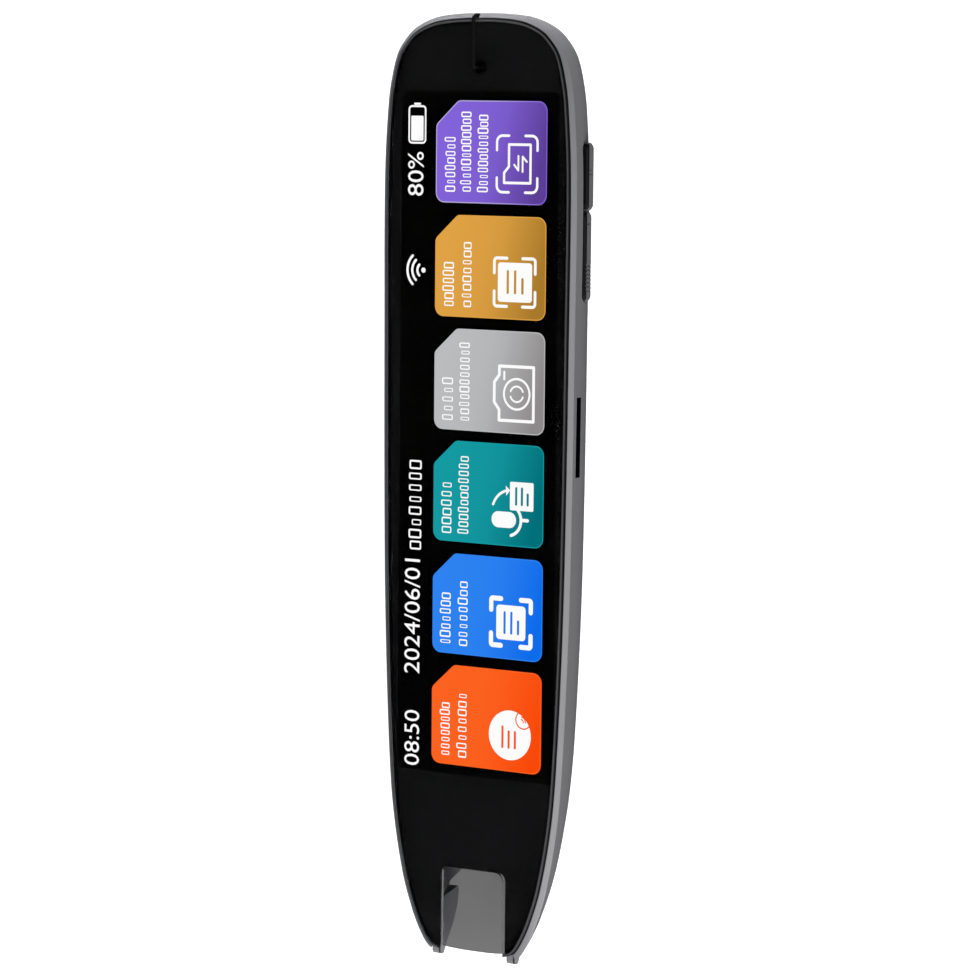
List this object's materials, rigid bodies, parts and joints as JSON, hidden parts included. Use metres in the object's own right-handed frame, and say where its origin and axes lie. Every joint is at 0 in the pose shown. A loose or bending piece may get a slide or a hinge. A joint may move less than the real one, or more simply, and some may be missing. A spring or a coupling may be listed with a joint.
{
  "type": "handheld translator",
  "caption": "Slim handheld scanning translator: tapered pen body, long touch screen, side keys and a sprung scanning shoe at the tip.",
  "frame": {"origin": "middle of the flat back that the object rests on", "axes": "+Y along the body to the lanyard end, -Y to the scanning tip, +X to the key side, +Z out of the screen"},
  "size_m": [0.0377, 0.1535, 0.0112],
  "materials": {
    "casing": "satin grey paint",
    "bezel": "satin grey",
    "cover_glass": "polished, black border",
    "adhesive": "matte",
    "touch_film": "clear film",
    "display": "glossy",
    "tray_metal": "bright",
    "flex": "amber film",
    "frame_metal": "die cast",
    "screw_steel": "plain",
    "circuit_board": "solder mask",
    "shield_metal": "tinned",
    "chip": "matte",
    "port_metal": "stamped",
    "switch_black": "matte",
    "plunger": "natural",
    "keys": "satin grey paint",
    "speaker_box": "matte",
    "mesh": "matte",
    "battery_foil": "foil",
    "pad_foam": "foam",
    "lead": "smooth",
    "plug_plastic": "natural",
    "tip_window": "smoke tint",
    "shoe": "satin light grey",
    "spring_steel": "plain",
    "camera_black": "matte",
    "lamp": "clear",
    "bush": "satin",
    "cord": "braided"
  },
  "bodies": {
    "housing": {"rear_housing": "casing", "front_bezel": "bezel", "cover_glass": "cover_glass", "glass_adhesive": "adhesive", "touch_sensor": "touch_film", "display_panel": "display", "backlight_tray": "tray_metal", "display_flex": "flex", "chassis": "frame_metal", "chassis_screws": "screw_steel", "main_board": "circuit_board", "board_screws": "screw_steel", "processor_shield": "shield_metal", "radio_shield": "shield_metal", "memory_chips": "chip", "charging_port": "port_metal", "key_board": "circuit_board", "power_switch": "switch_black", "function_switch": "switch_black", "speaker": "speaker_box", "speaker_mesh": "mesh", "microphone": "port_metal", "battery": "battery_foil", "battery_pad": "pad_foam", "cell_board": "circuit_board", "battery_lead": "lead", "battery_plug": "plug_plastic", "tip_window": "tip_window", "shoe_springs": "spring_steel", "tip_switch": "switch_black", "camera_module": "camera_black", "lens_barrel": "camera_black", "camera_board": "circuit_board", "lamp_board": "circuit_board", "lamps": "lamp", "lanyard_bush": "bush", "lanyard_loop": "cord"},
    "scan_shoe": {"scan_shoe": "shoe", "tip_plunger": "plunger"},
    "power_button": {"power_button": "keys", "power_plunger": "plunger"},
    "function_button": {"function_button": "keys", "function_plunger": "plunger"}
  },
  "joints": [
    {"name": "shoe_press", "type": "slide", "parent": "housing", "child": "scan_shoe", "axis": [0, 1, 0], "range_m": [0, 0.0006], "stiffness_N_per_m": 400, "springref_m": -0.001, "deforming": ["shoe_springs"]},
    {"name": "power_press", "type": "slide", "parent": "housing", "child": "power_button", "axis": [-1, 0, 0], "range_m": [0, 0.00035], "stiffness_N_per_m": 1000, "springref_m": -0.0004},
    {"name": "function_press", "type": "slide", "parent": "housing", "child": "function_button", "axis": [-1, 0, 0], "range_m": [0, 0.0003], "stiffness_N_per_m": 1000, "springref_m": -0.0004}
  ]
}
